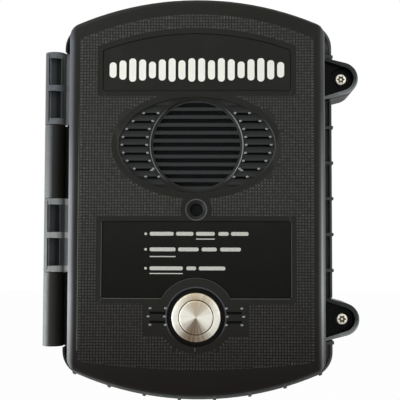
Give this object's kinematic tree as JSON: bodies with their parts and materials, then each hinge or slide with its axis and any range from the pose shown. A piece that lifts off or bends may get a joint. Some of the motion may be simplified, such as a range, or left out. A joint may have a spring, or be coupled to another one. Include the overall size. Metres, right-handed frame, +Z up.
{
  "type": "wireless call box",
  "caption": "Wall-mounted wireless call box: arched black case with a hinged cover, round slatted speaker, microphone and a steel call button.",
  "frame": {"origin": "middle of the back face, at the centre of the wall-mounting hole pattern", "axes": "+Z up as mounted, -Y the way the face looks, +X to the right seen from the front"},
  "size_m": [0.203, 0.0889, 0.259],
  "materials": {
    "case_plastic": "moulded, fine square grain",
    "label_film": "satin printed film",
    "stainless_steel": "turned and brushed",
    "zinc_steel": "zinc plated",
    "brass": "turned",
    "spring_contact": "nickel plated",
    "seal_rubber": "moulded",
    "board_laminate": "solder mask",
    "tin_plate": "bright tin plate",
    "nylon": "natural nylon",
    "sleeve_film": "heat-shrunk film",
    "control_plastic": "moulded",
    "tray_plastic": "moulded",
    "copper_coil": "enamelled wire",
    "cell_jacket": "plain film jacket on a steel can",
    "black_mesh": "fine woven screen",
    "paper_cone": "pressed pulp"
  },
  "bodies": {
    "base": {"rear_housing": "case_plastic", "case_gasket": "seal_rubber", "hinge_pin": "stainless_steel", "threaded_inserts": "brass", "radio_board": "board_laminate", "board_screws": "zinc_steel", "shield_can": "tin_plate", "wire_connectors": "nylon", "filter_capacitors": "sleeve_film", "channel_dial": "control_plastic", "antenna_clip": "tray_plastic", "antenna_coil": "copper_coil", "battery_tray": "tray_plastic", "tray_screws": "zinc_steel", "outer_contacts": "spring_contact", "centre_contacts": "spring_contact", "battery_cell_1": "cell_jacket", "battery_cell_2": "cell_jacket", "battery_cell_3": "cell_jacket", "battery_cell_4": "cell_jacket", "battery_cell_5": "cell_jacket", "battery_cell_6": "cell_jacket"},
    "cover": {"front_cover": "case_plastic", "top_label": "label_film", "instruction_label": "label_film", "grille_screen": "black_mesh", "speaker_gasket": "seal_rubber", "speaker_basket": "zinc_steel", "speaker_magnet": "zinc_steel", "speaker_cone": "paper_cone", "speaker_screws": "zinc_steel", "microphone_boot": "seal_rubber", "microphone": "tin_plate", "button_gasket": "seal_rubber", "button_bezel": "stainless_steel", "button_nut": "zinc_steel", "switch_body": "control_plastic", "switch_terminals": "tin_plate", "screw_retainers": "zinc_steel"},
    "button": {"button_cap": "stainless_steel"},
    "upper_screw": {"cover_screw_upper": "stainless_steel"},
    "lower_screw": {"cover_screw_lower": "stainless_steel"}
  },
  "joints": [
    {"name": "cover_hinge", "type": "hinge", "parent": "base", "child": "cover", "pos_m": [-0.0933, -0.057, 0], "axis": [0, 0, -1], "range_deg": [0, 110]},
    {"name": "button_press", "type": "slide", "parent": "cover", "child": "button", "axis": [0, 1, 0], "range_m": [0, 0.002], "stiffness_N_per_m": 800, "springref_m": -0.001},
    {"name": "upper_screw_turn", "type": "hinge", "parent": "cover", "child": "upper_screw", "pos_m": [0.0925, -0.06, 0.077], "axis": [0, -1, 0], "continuous": true},
    {"name": "lower_screw_turn", "type": "hinge", "parent": "cover", "child": "lower_screw", "pos_m": [0.0925, -0.06, -0.077], "axis": [0, -1, 0], "continuous": true}
  ]
}
